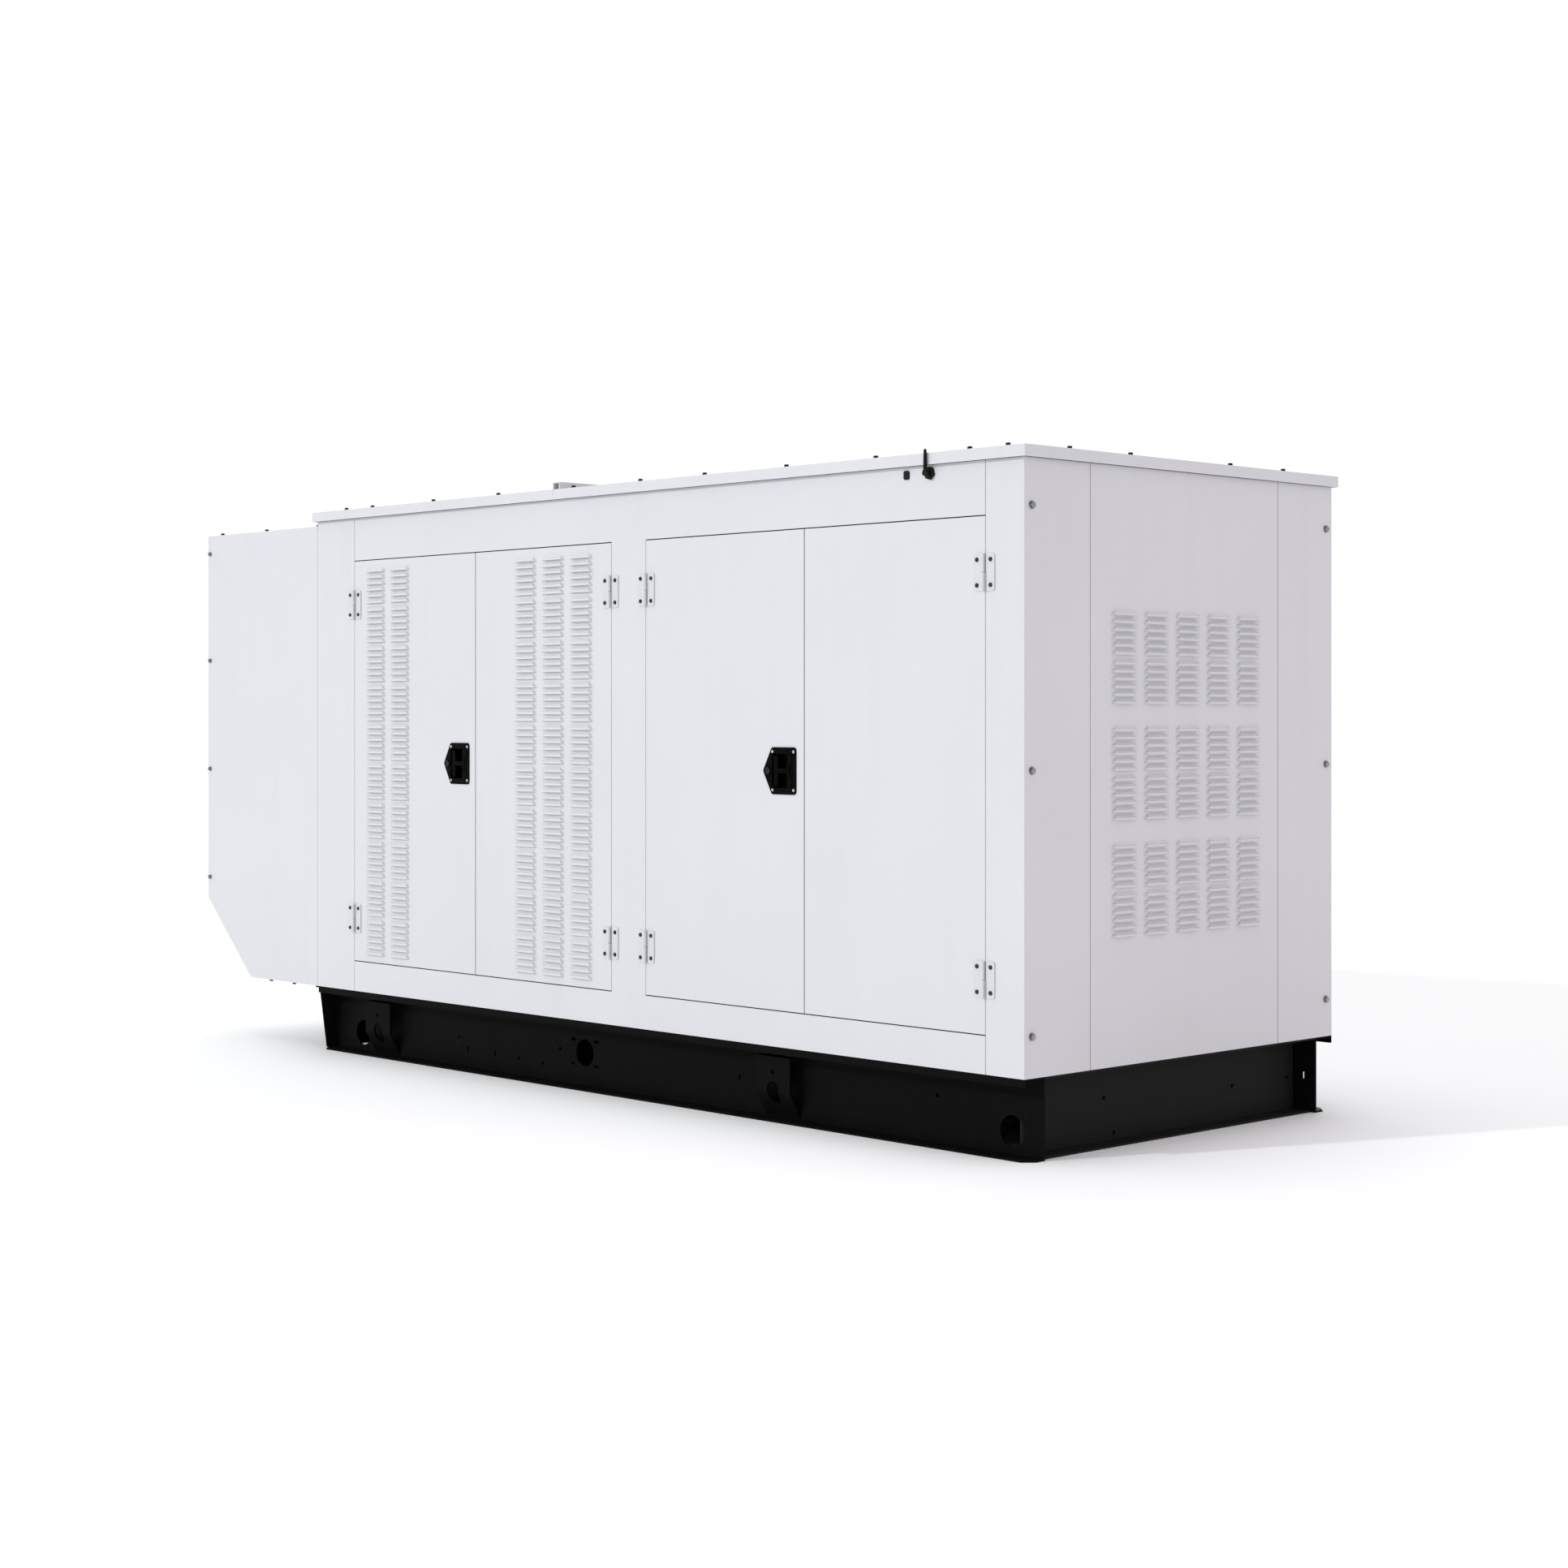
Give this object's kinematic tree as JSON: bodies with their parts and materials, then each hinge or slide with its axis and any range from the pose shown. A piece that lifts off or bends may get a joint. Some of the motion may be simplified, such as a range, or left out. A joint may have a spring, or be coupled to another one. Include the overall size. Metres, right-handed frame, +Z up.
{
  "type": "standby generator",
  "caption": "Standby generator set in a louvered sheet-metal weather enclosure on a formed steel base, with hinged service doors and an upward discharge hood.",
  "frame": {"origin": "middle of the four anchor bolts, on the ground under the base", "axes": "+X along the machine to the louvered air-inlet end, -Y to the front doors, +Z up"},
  "size_m": [3.658, 1.2936, 1.733],
  "materials": {
    "enclosure_paint": "satin powder coat, light grey",
    "base_paint": "satin black powder coat",
    "hinge_paint": "satin powder coat over steel",
    "latch_black": "fine-textured black",
    "fastener_steel": "zinc plated",
    "guard_steel": "powder-coated bar",
    "antenna_black": "moulded rubber sheath",
    "antenna_fitting": "nickel plated",
    "engine_iron": "painted casting",
    "pan_paint": "black paint",
    "cover_alloy": "cast alloy",
    "air_box": "moulded",
    "exhaust_steel": "aluminised steel, heat tinted",
    "radiator_black": "painted core",
    "fan_plastic": "glass-filled nylon",
    "pulley_steel": "machined",
    "belt_rubber": "fabric-backed rubber",
    "mount_rubber": "moulded rubber",
    "generator_paint": "dark grey enamel",
    "cabinet_paint": "textured grey powder coat",
    "lever_black": "moulded",
    "stop_red": "moulded",
    "battery_case": "moulded",
    "fuel_brass": "cast and tumbled"
  },
  "bodies": {
    "generator_set": {"air_cleaner": "air_box", "antenna_mount": "antenna_fitting", "base_cross_members": "base_paint", "base_end_left": "base_paint", "base_end_right": "base_paint", "base_rail_front": "base_paint", "base_rail_rear": "base_paint", "battery": "battery_case", "centre_post_front": "enclosure_paint", "centre_post_rear": "enclosure_paint", "control_cabinet": "cabinet_paint", "corner_post_front": "enclosure_paint", "corner_post_rear": "enclosure_paint", "discharge_hood": "enclosure_paint", "drive_belt": "belt_rubber", "enclosure_bolts": "fastener_steel", "end_louver_panel": "enclosure_paint", "engine_block": "engine_iron", "exhaust_system": "exhaust_steel", "fuel_train": "fuel_brass", "generator_head": "generator_paint", "headers": "enclosure_paint", "hinge_frame_leaves": "hinge_paint", "hood_guard_bars": "guard_steel", "isolation_mounts": "mount_rubber", "left_post_front": "enclosure_paint", "left_post_rear": "enclosure_paint", "lifting_brackets": "base_paint", "oil_pan": "pan_paint", "pulley_stubs": "pulley_steel", "radiator": "radiator_black", "radiator_bulkhead": "enclosure_paint", "rear_service_panel": "enclosure_paint", "roof_left": "enclosure_paint", "roof_right": "enclosure_paint", "sills": "enclosure_paint", "valve_covers": "cover_alloy"},
    "front_door_1": {"front_door_1": "enclosure_paint", "front_door_1_hinge_leaves": "hinge_paint", "front_left_latch_pan": "latch_black"},
    "front_door_2": {"front_door_2": "enclosure_paint", "front_door_2_hinge_leaves": "hinge_paint"},
    "front_door_3": {"front_door_3": "enclosure_paint", "front_door_3_hinge_leaves": "hinge_paint", "front_right_latch_pan": "latch_black"},
    "front_door_4": {"front_door_4": "enclosure_paint", "front_door_4_hinge_leaves": "hinge_paint"},
    "rear_door_1": {"rear_door_1": "enclosure_paint", "rear_door_1_hinge_leaves": "hinge_paint", "rear_latch_pan": "latch_black"},
    "rear_door_2": {"rear_door_2": "enclosure_paint", "rear_door_2_hinge_leaves": "hinge_paint"},
    "front_left_handle": {"front_left_latch_handle": "latch_black"},
    "front_right_handle": {"front_right_latch_handle": "latch_black"},
    "rear_handle": {"rear_latch_handle": "latch_black"},
    "antenna": {"antenna": "antenna_black"},
    "fan": {"fan": "fan_plastic"},
    "crank_pulley": {"crank_pulley": "pulley_steel"},
    "breaker_lever": {"breaker_lever": "lever_black"},
    "stop_button": {"stop_button": "stop_red"}
  },
  "joints": [
    {"name": "front_door_1_hinge", "type": "hinge", "parent": "generator_set", "child": "front_door_1", "pos_m": [-1.2856, -0.634, 0.9], "axis": [0, 0, -1], "range_deg": [0, 120]},
    {"name": "front_door_2_hinge", "type": "hinge", "parent": "generator_set", "child": "front_door_2", "pos_m": [-0.0361, -0.634, 0.9], "axis": [0, 0, 1], "range_deg": [0, 90]},
    {"name": "front_door_3_hinge", "type": "hinge", "parent": "generator_set", "child": "front_door_3", "pos_m": [0.1174, -0.634, 0.9], "axis": [0, 0, -1], "range_deg": [0, 90]},
    {"name": "front_door_4_hinge", "type": "hinge", "parent": "generator_set", "child": "front_door_4", "pos_m": [1.3669, -0.634, 0.9], "axis": [0, 0, 1], "range_deg": [0, 120]},
    {"name": "rear_door_1_hinge", "type": "hinge", "parent": "generator_set", "child": "rear_door_1", "pos_m": [1.3669, 0.634, 0.9], "axis": [0, 0, -1], "range_deg": [0, 120]},
    {"name": "rear_door_2_hinge", "type": "hinge", "parent": "generator_set", "child": "rear_door_2", "pos_m": [0.1174, 0.634, 0.9], "axis": [0, 0, 1], "range_deg": [0, 120]},
    {"name": "front_left_handle_pivot", "type": "hinge", "parent": "front_door_1", "child": "front_left_handle", "pos_m": [-0.72035, -0.6215, 0.923], "axis": [0, 0, 1], "range_deg": [0, 85]},
    {"name": "front_right_handle_pivot", "type": "hinge", "parent": "front_door_3", "child": "front_right_handle", "pos_m": [0.68265, -0.6215, 0.923], "axis": [0, 0, 1], "range_deg": [0, 85]},
    {"name": "rear_handle_pivot", "type": "hinge", "parent": "rear_door_1", "child": "rear_handle", "pos_m": [0.80165, 0.6215, 0.923], "axis": [0, 0, 1], "range_deg": [0, 85]},
    {"name": "antenna_tilt", "type": "hinge", "parent": "generator_set", "child": "antenna", "pos_m": [1.1875, -0.6465, 1.6636], "axis": [0, 1, 0], "range_deg": [-90, 90]},
    {"name": "fan_spin", "type": "hinge", "parent": "generator_set", "child": "fan", "pos_m": [-1.214, 0, 0.8], "axis": [1, 0, 0], "continuous": true},
    {"name": "crank_pulley_spin", "type": "hinge", "parent": "generator_set", "child": "crank_pulley", "pos_m": [-1.214, 0, 0.56], "axis": [1, 0, 0], "continuous": true},
    {"name": "breaker_lever_pivot", "type": "hinge", "parent": "generator_set", "child": "breaker_lever", "pos_m": [0.925, -0.4525, 1.085], "axis": [1, 0, 0], "range_deg": [-35, 35]},
    {"name": "stop_button_press", "type": "slide", "parent": "generator_set", "child": "stop_button", "axis": [0, 1, 0], "range_m": [0, 0.006], "stiffness_N_per_m": 400}
  ],
  "couplings": [
    {"joint": "crank_pulley_spin", "follows": "fan_spin", "ratio": 0.71429}
  ]
}
